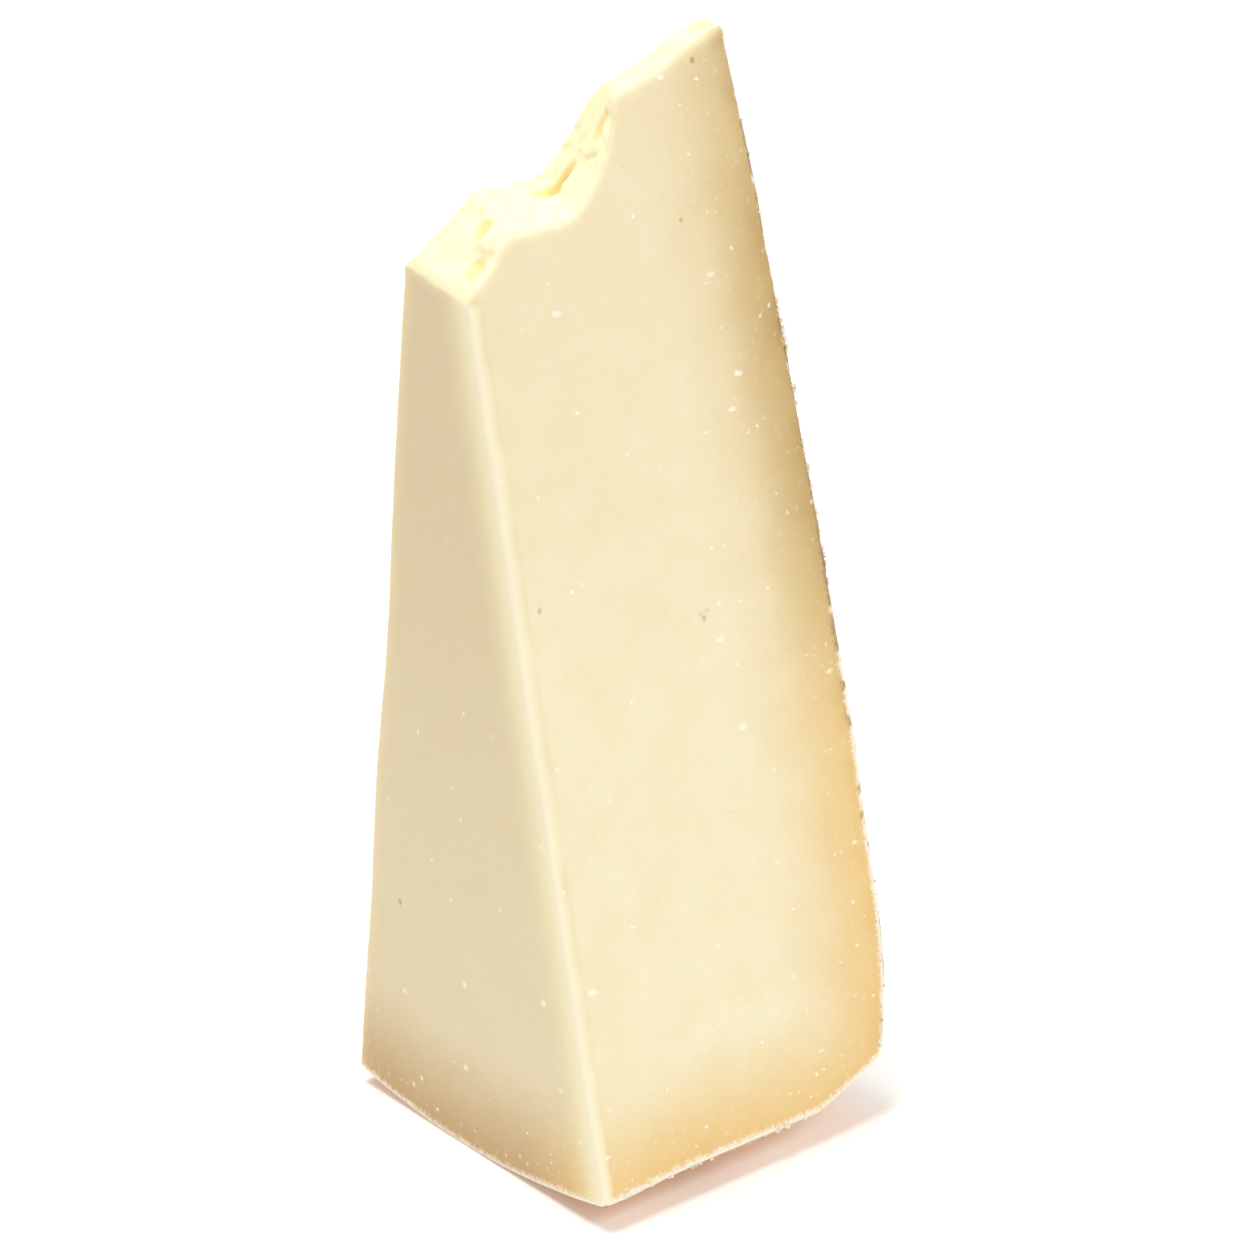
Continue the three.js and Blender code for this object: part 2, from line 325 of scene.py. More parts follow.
# Rounds one edge: p and q are the distances in from the two faces that meet there, reachP and
# reachQ how far the wear goes along each, and the result is how far each distance grows and
# how much of the worn strip a point is in
def wearEdge(p, q, reachP, reachQ, onFaceP, onFaceQ):
    moveP, moveQ, strip = np.zeros_like(p), np.zeros_like(p), np.zeros_like(p)
    sides = ((onFaceP, q, reachP, reachQ, True), (onFaceQ & ~onFaceP, p, reachQ, reachP, False))
    for face, away, reach, otherReach, isP in sides:
        near = face & (away < reach)
        left = 1 - np.maximum(away[near], 0) / reach[near]
        ownMove = (left / 2) ** 2 * otherReach[near]
        otherMove = (1 - left / 2) ** 2 * reach[near] - away[near]
        moveP[near], moveQ[near] = (ownMove, otherMove) if isP else (otherMove, ownMove)
        strip[near] = left
    return moveP, moveQ, strip


def shapeWedge(block):
    mesh = block.data
    spots = np.empty(len(mesh.vertices) * 3)
    mesh.vertices.foreach_get("co", spots)
    grid = np.round(spots.reshape(-1, 3), 6)
    faceMaterial = []
    for face in mesh.polygons:
        middle = grid[list(face.vertices)].mean(0)
        if middle[2] > 0.99999:
            faceMaterial.append(1)
        elif middle[0] > 0.99999:
            faceMaterial.append(2)
        elif middle[2] < 0.00001:
            faceMaterial.append(3)
        else:
            faceMaterial.append(0)
    mesh.polygons.foreach_set("material_index", faceMaterial)

    crowded = [t - k * np.sin(2 * math.pi * t) / (2 * math.pi) for t, k in zip(grid.T, wedge["crowding"])]
    u, v, w = crowded
    turn = (v - 0.5) * 2 * halfAngle
    zero, one = np.zeros_like(u), np.ones_like(u)

    # The four lines round a slice at this turn, each at this u or w, and their corners
    topX, topDepth, _, _ = smoothBreak(u, v)
    topStartDepth, topEndX, topEndDepth = smoothBreak(zero, v)[1], *smoothBreak(one, v)[:2]
    topR, topStartR, topEndR = [d / np.cos(turn) for d in (topDepth, topStartDepth, topEndDepth)]
    topStartX = zero
    wallX, wallR = onRind(u * cornerRun, turn)
    wallStartX, wallStartR = onRind(zero, turn)
    wallEndX, wallEndR = onRind(one * cornerRun, turn)
    topRun = np.interp(-topEndR, -outline[:, 1], outlineRun)
    sideX, sideR = onRind(cornerRun + (topRun - cornerRun) * w, turn)
    sideTopX, _ = onRind(topRun, turn)
    topX = topX + (sideTopX - topEndX) * u ** 3
    topEndX = sideTopX
    flatX, flatR = zero, wallStartR + (topStartR - wallStartR) * w
    x = (1 - w) * wallX + w * topX + (1 - u) * flatX + u * sideX
    x -= (1 - u) * (1 - w) * wallStartX + u * (1 - w) * wallEndX
    x -= (1 - u) * w * topStartX + u * w * topEndX
    radius = (1 - w) * wallR + w * topR + (1 - u) * flatR + u * sideR
    radius -= (1 - u) * (1 - w) * wallStartR + u * (1 - w) * wallEndR
    radius -= (1 - u) * w * topStartR + u * w * topEndR

    # The crags move the break itself, and less and less of the cut faces below it
    below = np.maximum(radius - topR, 0)
    near = np.nonzero((w > 0.85) & (below < 9))[0]
    cragX, cragDepth, crevice = brokenRelief(u[near], v[near], turn[near])
    fading = np.exp(-(below[near] / 3.2) ** 2)
    x[near] += cragX * fading
    radius[near] += cragDepth * fading
    crackHere = np.zeros_like(u)
    crackHere[near] = crevice * np.exp(-below[near] / 0.25)

    # Depth under the rind, before anything is worn away
    cornerRadius = np.interp(cornerRun, outlineRun, outline[:, 1])
    rindX = np.interp(-np.minimum(radius, cornerRadius), -outline[:, 1], outline[:, 0])
    rindR = np.interp(x, outline[:cornerPoint, 0], outline[:cornerPoint, 1])
    rindR = rindR + bulge(rindR, x, turn)
    sideDepth, wallDepth = rindX - x, rindR - radius

    # Worn edges, uneven along their length, while the broken edge itself stays sharp
    jitter = [noise.noise(Vector((a / 6, b / 6, c * 9))) for a, b, c in zip(x, radius, turn)]
    uneven = 1 + 0.35 * np.array(jitter)
    fromBreak = np.clip(below / 3, 0.15, 1)
    inward = {
        "flat": x,
        "side": sideDepth,
        "front": (turn + halfAngle) * radius,
        "back": (halfAngle - turn) * radius,
        "wall": wallDepth,
        "top": below,
    }
    onFace = {
        "flat": grid[:, 0] < 1e-5,
        "side": grid[:, 0] > 1 - 1e-5,
        "front": grid[:, 1] < 1e-5,
        "back": grid[:, 1] > 1 - 1e-5,
        "wall": grid[:, 2] < 1e-5,
        "top": grid[:, 2] > 1 - 1e-5,
    }
    move = {name: np.zeros_like(x) for name in inward}
    edgeWearAndHighlight = 0.35 * np.exp(-(below / 2.8) ** 2)  # paler just below the break
    for (first, second), sizes in wornEdges.items():
        firstReach, secondReach = [size * uneven * (1 if first == "top" else fromBreak) for size in sizes]
        firstMove, secondMove, strip = wearEdge(
            inward[first], inward[second], firstReach, secondReach, onFace[first], onFace[second]
        )
        move[first] += firstMove
        move[second] += secondMove
        pale, firstFall, secondFall = paleEdges.get((first, second), (0, 1, 1))
        strip = pale * np.where(onFace[first], strip ** firstFall, strip ** secondFall)
        edgeWearAndHighlight = np.maximum(edgeWearAndHighlight, strip)
    for name, (share, distance) in edgeHighlightMargins.items():
        highlightMargin = share * np.exp(-np.maximum(inward[name], 0) / distance) * onFace["flat"]
        edgeWearAndHighlight = np.maximum(edgeWearAndHighlight, highlightMargin)
    x = x + move["flat"] - move["side"]
    turn = turn + (move["front"] - move["back"]) / radius
    radius = radius - move["wall"] + move["top"]

    # Into space, with a slow unevenness, then rolled and pressed flat where it rests
    y, z = radius * np.sin(turn), -radius * np.cos(turn)
    places = np.stack([x, y, z], 1)
    slowSize, slowSway, fineSize, fineSway = wedge["sway"]
    slow = [noise.noise_vector(Vector(p) / slowSize) for p in places]
    fine = [noise.noise_vector(Vector(p) / fineSize + Vector((3, 8, 1))) for p in places]
    places += np.array(slow) * slowSway + np.array(fine) * fineSway
    rock = math.radians(wedge["rock"])
    y = places[:, 1] * math.cos(rock) - places[:, 2] * math.sin(rock)
    z = places[:, 1] * math.sin(rock) + places[:, 2] * math.cos(rock)
    z = np.maximum(z, -wedge["restDepth"])
    done = np.stack([places[:, 0], y, z], 1) + np.array(wedge["axisPlace"])
    mesh.vertices.foreach_set("co", (done / 1000).ravel())
    readings = {
        "sideDepth": sideDepth,
        "wallDepth": wallDepth,
        "crevice": crackHere,
        "edgeWearAndHighlight": edgeWearAndHighlight,
    }
    for name, values in readings.items():
        layer = mesh.attributes.new(name, "FLOAT", "POINT")
        layer.data.foreach_set("value", np.maximum(values, 0).astype(np.float32))
    mesh.update()


# Turns a face name, x or y, and depth into a place and an outward direction, in metres
def onCutFace(face, across, depth):
    if face == "front":
        place = Vector((across, -depth * math.tan(halfAngle), -depth))
        out = Vector((0, -math.cos(halfAngle), math.sin(halfAngle)))
    else:
        place, out = Vector((0, across, -depth)), Vector((-1, 0, 0))
    roll = Matrix.Rotation(math.radians(wedge["rock"]), 3, "X")
    place = roll @ place + Vector(wedge["axisPlace"])
    return place / 1000, roll @ out


# Small holes: the mesh is cut finer round each one, then pushed in
def pressPits(block):
    bpy.ops.object.select_all(action="DESELECT")
    block.select_set(True)
    bpy.context.view_layer.objects.active = block
    for face, across, depth, size, deep in pits:
        place, out = onCutFace(face, across, depth)
        mesh = block.data
        mesh.vertices.foreach_set("select", np.zeros(len(mesh.vertices), dtype=bool))
        mesh.edges.foreach_set("select", np.zeros(len(mesh.edges), dtype=bool))
        near = np.empty(len(mesh.polygons) * 3)
        mesh.polygons.foreach_get("center", near)
        away = np.linalg.norm(near.reshape(-1, 3) - np.array(place), axis=1)
        mesh.polygons.foreach_set("select", away < size * 0.0022)
        bpy.ops.object.mode_set(mode="EDIT")
        bpy.ops.mesh.subdivide(number_cuts=3)
        bpy.ops.object.mode_set(mode="OBJECT")
        mesh = block.data
        spots = np.empty(len(mesh.vertices) * 3)
        mesh.vertices.foreach_get("co", spots)
        spots = spots.reshape(-1, 3)
        offset = (spots - np.array(place)) * 1000
        reach = np.linalg.norm(offset * np.array((1, 1, 0.75)), axis=1) / size
        ragged = np.array([noise.noise(Vector(p) * 2.2) if r < 3 else 0 for p, r in zip(offset, reach)])
        dip = np.exp(-(reach * (1 + 0.35 * ragged)) ** 3) * (reach < 3)
        spots = spots - np.array(out) * (dip * deep / 1000)[:, None]
        mesh.vertices.foreach_set("co", spots.ravel())
        old = np.empty(len(mesh.vertices), dtype=np.float32)
        mesh.attributes["crevice"].data.foreach_get("value", old)
        onCut = reach < 3
        old[onCut] = dip[onCut] * 1.6
        mesh.attributes["crevice"].data.foreach_set("value", old)
        mesh.update()


# Vector noise follows the clock unless it is seeded
noise.seed_set(wedge["seed"])
cheese = cutBlock()
cheese.name = cheese.data.name = "cheddarWedge"
print("cheddar: block cut", len(cheese.data.vertices), "points")
for label in ("cutPaste", "brokenPaste", "rindSide", "rindWall"):
    cheese.data.materials.append(bpy.data.materials.new(label))
shapeWedge(cheese)
pressPits(cheese)
bpy.ops.object.shade_smooth_by_angle(angle=math.radians(55))
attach(cheese, "root")
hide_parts("cheddar_wedge")
print("cheddar: wedge shaped", len(cheese.data.polygons), "faces")


# One bit of bloom: a rough little ball, stretched and knobbled
def makeBit(place, size, shaper):
    bpy.ops.object.select_all(action="DESELECT")
    bpy.ops.mesh.primitive_ico_sphere_add(subdivisions=2, radius=size / 1000, location=place)
    bpy.ops.object.transform_apply(location=True, rotation=True, scale=True)
    bit = bpy.context.object
    stretch = Vector([shaper.uniform(0.65, 1.25) for _ in range(3)])
    shift = Vector([shaper.uniform(-50, 50) for _ in range(3)])
    for point in bit.data.vertices:
        arm = (point.co - place) * 1000
        rough = 1 + 0.42 * noise.noise(arm / size * 1.1 + shift)
        rough += 0.16 * noise.noise(arm * 4 / size + shift)
        point.co = place + Vector([a * s for a, s in zip(arm, stretch)]) * rough / 1000
    return bit


# Joins the bits into one piece
def joinBits(made, name):
    bpy.ops.object.select_all(action="DESELECT")
    for bit in made:
        bit.select_set(True)
    bpy.context.view_layer.objects.active = made[0]
    bpy.ops.object.join()
    bpy.ops.object.shade_smooth_by_angle(angle=math.radians(60))
    joined = bpy.context.object
    joined.name = joined.data.name = name
    bpy.context.scene.cursor.location = (0, 0, 0)
    bpy.ops.object.origin_set(type="ORIGIN_CURSOR")
    return joined


# Bits of bloom and cloth left on the rind's cut edge: run along the outline, spread, count, size
rindBits = {
    "seed": 5,
    "sunk": 0.2,
    "clusters": [
        (36, 2, 6, 0.42), (24, 21, 46, 0.22), (62, 3, 8, 0.3), (66, 3, 6, 0.34), (80, 8, 10, 0.2),
        (132, 5, 8, 0.27), (140, 5, 10, 0.3), (150, 6, 16, 0.36), (160, 5, 12, 0.38),
        (174, 5, 16, 0.38), (190, 14, 10, 0.24),
        (200, 8, 14, 0.2),
    ],
}


def scatterRindBits():
    shaper = random.Random(rindBits["seed"])
    roll = Matrix.Rotation(math.radians(wedge["rock"]), 3, "X")
    made = []
    for middle, spread, count, size in rindBits["clusters"]:
        for _ in range(count):
            run = np.array([max(1.0, middle + shaper.uniform(-spread, spread))])
            turn = -halfAngle + abs(shaper.gauss(0, 0.3)) / 170
            onSurface = onRind(run, np.array([turn]))
            x, radius = [float(value[0]) - rindBits["sunk"] for value in onSurface]
            place = Vector((x, radius * math.sin(turn), -radius * math.cos(turn)))
            place = (roll @ place + Vector(wedge["axisPlace"])) / 1000
            made.append(makeBit(place, size * shaper.uniform(0.5, 1.2), shaper))
    return joinBits(made, "rindBits")


rindFlakes = scatterRindBits()
rindFlakes.data.materials.append(bpy.data.materials.new("rindCrumb"))
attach(rindFlakes, "root")
print("cheddar: rind bits made", len(rindFlakes.data.polygons), "faces")


# Node helpers: a node with its settings, and a plain sum of two sockets or numbers
def addNode(tree, kind, **settings):
    node = tree.nodes.new(kind)
    for key, value in settings.items():
        setattr(node, key, value)
    return node


def feed(tree, node, socket, value):
    if isinstance(value, bpy.types.NodeSocket):
        tree.links.new(value, node.inputs[socket])
    else:
        node.inputs[socket].default_value = value


def maths(tree, operation, a, b=None, clamp=False):
    node = addNode(tree, "ShaderNodeMath", operation=operation, use_clamp=clamp)
    feed(tree, node, 0, a)
    if b is not None:
        feed(tree, node, 1, b)
    return node.outputs[0]


def ease(tree, value, low, high, toLow=0.0, toHigh=1.0):
    node = addNode(tree, "ShaderNodeMapRange", interpolation_type="SMOOTHSTEP")
    feed(tree, node, "Value", value)
    for socket, number in (("From Min", low), ("From Max", high), ("To Min", toLow), ("To Max", toHigh)):
        feed(tree, node, socket, number)
    return node.outputs["Result"]


def blend(tree, share, a, b, how="MIX"):
    node = addNode(tree, "ShaderNodeMix", data_type="RGBA", blend_type=how, clamp_factor=True)
    feed(tree, node, 0, share)
    feed(tree, node, 6, a)
    feed(tree, node, 7, b)
    return node.outputs[2]


def speckle(tree, vector, scale, detail=2.0, rough=0.5):
    node = addNode(tree, "ShaderNodeTexNoise")
    feed(tree, node, "Vector", vector)
    feed(tree, node, "Scale", scale)
    feed(tree, node, "Detail", detail)
    feed(tree, node, "Roughness", rough)
    return node


def newGroup(name, inputs, outputs):
    group = bpy.data.node_groups.new(name, "ShaderNodeTree")
    for label, kind in inputs:
        group.interface.new_socket(name=label, in_out="INPUT", socket_type=kind)
    for label, kind in outputs:
        group.interface.new_socket(name=label, in_out="OUTPUT", socket_type=kind)
    return group, group.nodes.new("NodeGroupInput"), group.nodes.new("NodeGroupOutput")


# Slow and fine unevenness of pressed curd
def curdMottleGroup():
    group, start, end = newGroup(
        "curdMottle",
        [("Vector", "NodeSocketVector"), ("Curd Size", "NodeSocketFloat")],
        [("Tone", "NodeSocketFloat"), ("Grain", "NodeSocketFloat")],
    )
    scale = maths(group, "DIVIDE", 1.0, start.outputs["Curd Size"])
    slow = speckle(group, start.outputs["Vector"], scale, 3.0, 0.55)
    fineScale = maths(group, "MULTIPLY", scale, 7.0)
    fine = speckle(group, start.outputs["Vector"], fineScale, 4.0, 0.6)
    tone = maths(group, "MULTIPLY_ADD", fine.outputs["Fac"], 0.35)
    feed(group, tone.node, 2, maths(group, "MULTIPLY", slow.outputs["Fac"], 0.65))
    group.links.new(ease(group, tone, 0.32, 0.68), end.inputs["Tone"])
    group.links.new(fine.outputs["Fac"], end.inputs["Grain"])
    return group


# Scattered small spots, one or none in a cell, of uneven size and ragged shape
def spotsGroup():
    group, start, end = newGroup(
        "scatteredSpots",
        [
            ("Vector", "NodeSocketVector"),
            ("Cell Size", "NodeSocketFloat"),
            ("Chance", "NodeSocketFloat"),
            ("Spot Size", "NodeSocketFloat"),
        ],
        [("Mask", "NodeSocketFloat")],
    )
    ragged = speckle(group, start.outputs["Vector"], 1.1, 2.0)
    push = addNode(group, "ShaderNodeVectorMath", operation="MULTIPLY_ADD")
    group.links.new(ragged.outputs["Color"], push.inputs[0])
    push.inputs[1].default_value = (0.9, 0.9, 0.9)
    group.links.new(start.outputs["Vector"], push.inputs[2])
    cells = addNode(group, "ShaderNodeTexVoronoi", feature="F1")
    group.links.new(push.outputs[0], cells.inputs["Vector"])
    feed(group, cells, "Scale", maths(group, "DIVIDE", 1.0, start.outputs["Cell Size"]))
    parts = addNode(group, "ShaderNodeSeparateColor")
    group.links.new(cells.outputs["Color"], parts.inputs[0])
    there = maths(group, "LESS_THAN", parts.outputs[0], start.outputs["Chance"])
    share = maths(group, "MULTIPLY_ADD", parts.outputs[1], 0.65)
    feed(group, share.node, 2, 0.35)
    reach = maths(group, "MULTIPLY", share, start.outputs["Spot Size"])
    away = maths(group, "MULTIPLY", cells.outputs["Distance"], start.outputs["Cell Size"])
    left = maths(group, "SUBTRACT", reach, away)
    soft = ease(group, left, 0.0, 0.34)
    group.links.new(maths(group, "MULTIPLY", soft, there), end.inputs["Mask"])
    return group


# The print of a plain woven cloth from two coordinates across it
def clothPrintGroup():
    group, start, end = newGroup(
        "clothPrint",
        [("Across", "NodeSocketFloat"), ("Along", "NodeSocketFloat"), ("Pitch", "NodeSocketFloat")],
        [("Height", "NodeSocketFloat")],
    )
    waves = []
    for label in ("Across", "Along"):
        turns = maths(group, "DIVIDE", start.outputs[label], start.outputs["Pitch"])
        waves.append(maths(group, "SINE", maths(group, "MULTIPLY", turns, math.pi)))
    ribs = maths(group, "ADD", maths(group, "ABSOLUTE", waves[0]), maths(group, "ABSOLUTE", waves[1]))
    cross = maths(group, "MULTIPLY", waves[0], waves[1])
    height = maths(group, "MULTIPLY_ADD", cross, 0.5)
    feed(group, height.node, 2, maths(group, "MULTIPLY", ribs, 0.5))
    group.links.new(height, end.inputs["Height"])
    return group


curdMottle = curdMottleGroup()
scatteredSpots = spotsGroup()
clothPrint = clothPrintGroup()


# Starts a material: its tree, shader and Object coordinates in millimetres
def startMaterial(name):
    material = bpy.data.materials.get(name) or bpy.data.materials.new(name)
    material.use_nodes = True
    tree = material.node_tree
    shader = tree.nodes["Principled BSDF"]
    coords = addNode(tree, "ShaderNodeTexCoord")
    inMillimetres = addNode(tree, "ShaderNodeMapping")
    inMillimetres.inputs["Scale"].default_value = (1000, 1000, 1000)
    tree.links.new(coords.outputs["Object"], inMillimetres.inputs["Vector"])
    return tree, shader, inMillimetres.outputs["Vector"]


def placeGroup(tree, group, vector=None, **values):
    node = addNode(tree, "ShaderNodeGroup", node_tree=group)
    if vector is not None:
        tree.links.new(vector, node.inputs["Vector"])
    for label, value in values.items():
        feed(tree, node, label.replace("_", " "), value)
    return node


def readPoint(tree, name):
    return addNode(tree, "ShaderNodeAttribute", attribute_name=name).outputs["Fac"]


# The cut and the broken curd: colours, spots in millimetres, and light travelling in it
paste = {
    "pale": (0.875, 0.795, 0.575, 1),
    "deep": (0.85, 0.755, 0.510, 1),
    # Painted shade: the flat cut faces away from the key lamp, so it is painted duller and darker, more
    # so higher up
    "flatCutShade": (0.74, 0.612, 0.39, 1),
    "nearRind": (0.785, 0.53, 0.185, 1),
    # The rind band's own deeper colour, painted browner higher up and at the back of the flat cut:
    # painted shade over the real band
    "warmHigh": (0.72, 0.55, 0.27, 1),
    "nearRindHigh": (0.56, 0.39, 0.155, 1),
    "nearRindFlatShade": (0.57, 0.36, 0.155, 1),
    "atRind": (0.45, 0.27, 0.10, 1),
    # Painted shade: the cut faces are painted darker higher up, where less light comes up from the floor
    "upperShade": (0.80, 0.675, 0.435, 1),
    # Painted highlight: pale tones for the strip along the rounded cut edges, where light glows through
    # the curd
    "nearEdgeHighlight": (0.905, 0.835, 0.60, 1),
    "nearEdgeHighlightFlat": (0.885, 0.79, 0.485, 1),
    "edge": (0.92, 0.85, 0.66, 1),
    "speck": (1.0, 0.97, 0.88, 1),
    "crustDark": (0.40, 0.27, 0.15, 1),
    "crustPale": (0.91, 0.82, 0.68, 1),
    # Painted shade: the inside of pinholes and pits is painted dark brown
    "holeShade": (0.45, 0.30, 0.10, 1),
    "crumbly": (1.0, 0.91, 0.64, 1),
    "chalky": (0.98, 0.87, 0.54, 1),
    # Painted shade: cracks, tears and dips in the break are painted a deeper yellow, for the warm light
    # bounced inside them
    "crevice": (0.97, 0.76, 0.34, 1),
    "bigSpots": {"Cell_Size": 3.8, "Chance": 0.38, "Spot_Size": 0.74},
    "smallSpots": {"Cell_Size": 1.9, "Spot_Size": 0.48},
    "pores": {"Cell_Size": 4.5, "Chance": 0.035, "Spot_Size": 0.4},
    "rough": 0.40,  # at its smoothest
    "scatter": 0.0028,  # metres that light travels in the paste
    "breakScatter": 0.0014,
    "crumbScatter": 0.0004,
    "reach": (1.0, 0.7, 0.35),
    "crumbReach": (1.0, 0.93, 0.78),
}


def setPasteShader(shader, weight, scatter, reach):
    shader.inputs["Subsurface Weight"].default_value = weight
    shader.inputs["Subsurface Radius"].default_value = reach
    shader.inputs["Subsurface Scale"].default_value = scatter
    shader.inputs["Specular IOR Level"].default_value = 0.35


def makeCutPaste():
    tree, shader, mm = startMaterial("cutPaste")
    mottle = placeGroup(tree, curdMottle, mm, Curd_Size=7.0)
    colour = blend(tree, mottle.outputs["Tone"], paste["deep"], paste["pale"])
    sideDepth, wallDepth = readPoint(tree, "sideDepth"), readPoint(tree, "wallDepth")
    wander = speckle(tree, mm, 0.12, 3.0).outputs["Fac"]
    wander = maths(tree, "MULTIPLY", wander, 5.0)
    fromSide = maths(tree, "ADD", sideDepth, wander)
    fromWall = maths(tree, "ADD", maths(tree, "MULTIPLY", wallDepth, 1.15), wander)
    under = maths(tree, "SMOOTH_MIN", fromSide, fromWall)
    feed(tree, under.node, 2, 5.0)
    spot = addNode(tree, "ShaderNodeSeparateXYZ")
    tree.links.new(mm, spot.inputs[0])
    onFlat = ease(tree, spot.outputs["X"], -27.0, -29.7)
    # Painted shade: the cut faces are painted darker higher up, where less light comes up from the floor
    colour = blend(tree, ease(tree, wallDepth, 60.0, 135.0, 0.0, 0.38), colour, paste["upperShade"])
    # Painted shade: the flat cut is painted duller and darker, more so higher up, as it faces away from
    # the key lamp
    flatCutShade = maths(tree, "MULTIPLY", onFlat, ease(tree, wallDepth, 20.0, 110.0, 0.58, 0.92))
    colour = blend(tree, flatCutShade, colour, paste["flatCutShade"])
    # The band of deeper paste near the rind is its own colour; it is painted browner higher up and at the
    # back of the flat cut, which is painted shade
    upperShade = ease(tree, wallDepth, 45.0, 98.0)
    band = ease(tree, under, 26.0, 1.0)
    bandTone = blend(tree, upperShade, paste["nearRind"], paste["warmHigh"])
    flatBackShade = maths(tree, "MULTIPLY", onFlat, ease(tree, spot.outputs["Y"], -29.0, -8.0))
    bandTone = blend(tree, flatBackShade, bandTone, paste["nearRindFlatShade"])
    bandShare = ease(tree, wallDepth, 125.0, 165.0, 0.87, 0.6)
    colour = blend(tree, maths(tree, "MULTIPLY", band, bandShare), colour, bandTone)
    inner = maths(tree, "MULTIPLY", ease(tree, under, 16.0, 2.0), upperShade)
    innerShare = ease(tree, wallDepth, 115.0, 165.0, 0.88, 0.32)
    colour = blend(tree, maths(tree, "MULTIPLY", inner, innerShare), colour, paste["nearRindHigh"])
    edge = ease(tree, under, 6.5, 1.0)
    edgeShare = ease(tree, wallDepth, 25.0, 90.0, 0.16, 0.62)
    colour = blend(tree, maths(tree, "MULTIPLY", edge, edgeShare), colour, paste["atRind"])
    paleStrip = readPoint(tree, "edgeWearAndHighlight")
    # Painted highlight: the cut paste is painted pale along its rounded edges, where light glows through
    # the curd
    nearEdgeHighlight = blend(tree, onFlat, paste["nearEdgeHighlight"], paste["nearEdgeHighlightFlat"])
    colour = blend(tree, ease(tree, paleStrip, 0.12, 0.55, 0.0, 0.75), colour, nearEdgeHighlight)
    colour = blend(tree, ease(tree, paleStrip, 0.3, 0.95, 0.0, 0.95), colour, paste["edge"])
    long = addNode(tree, "ShaderNodeMapping")
    long.inputs["Scale"].default_value = (0.62, 1.0, 1.0)
    long.inputs["Rotation"].default_value = (0.0, math.radians(35), 0.0)
    tree.links.new(mm, long.inputs["Vector"])
    stretched = long.outputs["Vector"]
    big = placeGroup(tree, scatteredSpots, stretched, **paste["bigSpots"])
    nearSpots = ease(tree, under, 34.0, 4.0, 0.1, 0.4)
    small = placeGroup(tree, scatteredSpots, mm, Chance=nearSpots, **paste["smallSpots"])
    bigMask = maths(tree, "MULTIPLY", big.outputs["Mask"], 0.8)
    specks = maths(tree, "MAXIMUM", bigMask, small.outputs["Mask"])
    cloudy = speckle(tree, mm, 0.8, 4.0).outputs["Fac"]
    smudgeShare = ease(tree, under, 30.0, 6.0, 0.06, 0.24)
    smudge = maths(tree, "MULTIPLY", ease(tree, cloudy, 0.58, 0.80), smudgeShare)
    paleSpots = maths(tree, "MAXIMUM", maths(tree, "MULTIPLY", specks, 0.76), smudge)
    colour = blend(tree, paleSpots, colour, paste["speck"])
    # Painted shade: pinholes and the pressed pits are painted dark brown inside, and dip in the bump
    pores = placeGroup(tree, scatteredSpots, mm, **paste["pores"])
    inPit = ease(tree, readPoint(tree, "crevice"), 0.25, 1.5)
    hollow = maths(tree, "MAXIMUM", pores.outputs["Mask"], inPit)
    colour = blend(tree, maths(tree, "MULTIPLY", hollow, 0.34), colour, paste["holeShade"])
    crust = speckle(tree, mm, 1.6, 3.0).outputs["Fac"]
    skin = maths(tree, "MULTIPLY", sideDepth, ease(tree, wallDepth, 110.0, 60.0, 1.0, 0.5))
    skin = maths(tree, "MINIMUM", skin, maths(tree, "MULTIPLY", wallDepth, 0.42))
    crustLine = ease(tree, maths(tree, "ADD", skin, crust), 1.25, 0.75)
    patches = speckle(tree, mm, 0.3, 4.0).outputs["Fac"]
    patches = maths(tree, "ADD", patches, ease(tree, wallDepth, 80.0, 40.0, -0.04, 0.13))
    patches = maths(tree, "ADD", patches, ease(tree, wallDepth, 3.0, 1.0, 0.0, 0.25))
    crustTone = blend(tree, ease(tree, patches, 0.47, 0.58), paste["crustDark"], paste["crustPale"])
    colour = blend(tree, crustLine, colour, crustTone)
    tree.links.new(colour, shader.inputs["Base Color"])
    grain = maths(tree, "MULTIPLY", mottle.outputs["Grain"], 0.25)
    tree.links.new(maths(tree, "ADD", grain, paste["rough"]), shader.inputs["Roughness"])
    drag = addNode(tree, "ShaderNodeMapping")
    drag.inputs["Scale"].default_value = (0.05, 0.6, 1.4)
    drag.inputs["Rotation"].default_value = (0, math.radians(4), 0)
    tree.links.new(mm, drag.inputs["Vector"])
    streaks = speckle(tree, drag.outputs["Vector"], 1.0, 3.0).outputs["Fac"]
    height = maths(tree, "MULTIPLY_ADD", streaks, 0.5)
    feed(tree, height.node, 2, maths(tree, "MULTIPLY", mottle.outputs["Grain"], 0.5))
    height = maths(tree, "SUBTRACT", height, maths(tree, "MULTIPLY", hollow, 0.8))
    height = maths(tree, "ADD", height, maths(tree, "MULTIPLY", specks, 0.25))
    crustHeight = maths(tree, "MULTIPLY", crustLine, maths(tree, "MULTIPLY", crust, 1.6))
    height = maths(tree, "ADD", height, crustHeight)
    bump = addNode(tree, "ShaderNodeBump")
    bump.inputs["Strength"].default_value = 0.35
    bump.inputs["Distance"].default_value = 0.00035
    tree.links.new(height, bump.inputs["Height"])
    tree.links.new(bump.outputs["Normal"], shader.inputs["Normal"])
    setPasteShader(shader, 0.55, paste["scatter"], paste["reach"])


